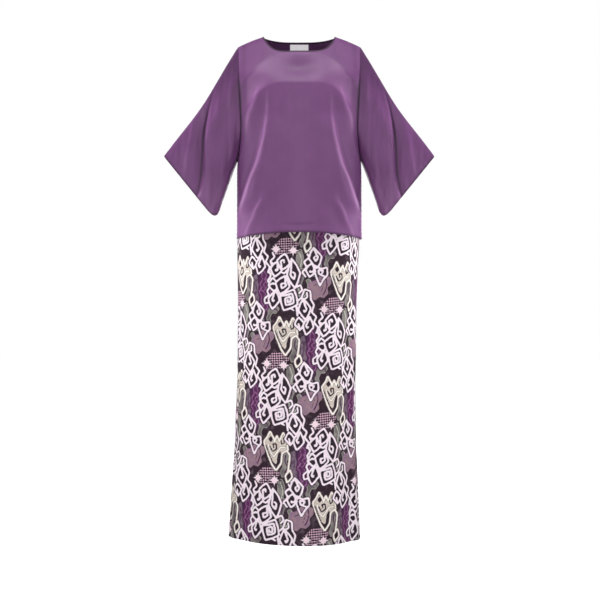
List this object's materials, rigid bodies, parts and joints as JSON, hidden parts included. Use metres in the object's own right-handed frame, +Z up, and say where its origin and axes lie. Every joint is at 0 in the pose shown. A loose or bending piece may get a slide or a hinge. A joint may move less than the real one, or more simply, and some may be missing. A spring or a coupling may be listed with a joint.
{
  "type": "baju kurung set",
  "caption": "Loose slip-on blouse with wide elbow sleeves and a bound round neck, worn over a long straight batik skirt; hollow, as filled out by a wearer.",
  "frame": {"origin": "on the shoulder line, midway between the two points where the shoulder seams meet the neckline", "axes": "+Z up, -Y towards the front of the wearer, +X towards the wearer's left"},
  "size_m": [0.738, 0.2643, 1.3624],
  "materials": {
    "baju_crepe": "fine plum crepe with a satin sheen",
    "neck_binding": "matte dark plum bias binding",
    "neck_label": "white woven ribbon, blank",
    "kain_batik": "printed batik, matte",
    "waistband": "matte elastic casing"
  },
  "bodies": {
    "root": {"baju_front": "baju_crepe", "baju_back": "baju_crepe", "baju_sleeve_left": "baju_crepe", "baju_sleeve_right": "baju_crepe", "baju_neck_binding": "neck_binding", "baju_neck_label": "neck_label", "kain_front": "kain_batik", "kain_back": "kain_batik", "kain_waistband": "waistband"}
  },
  "joints": []
}
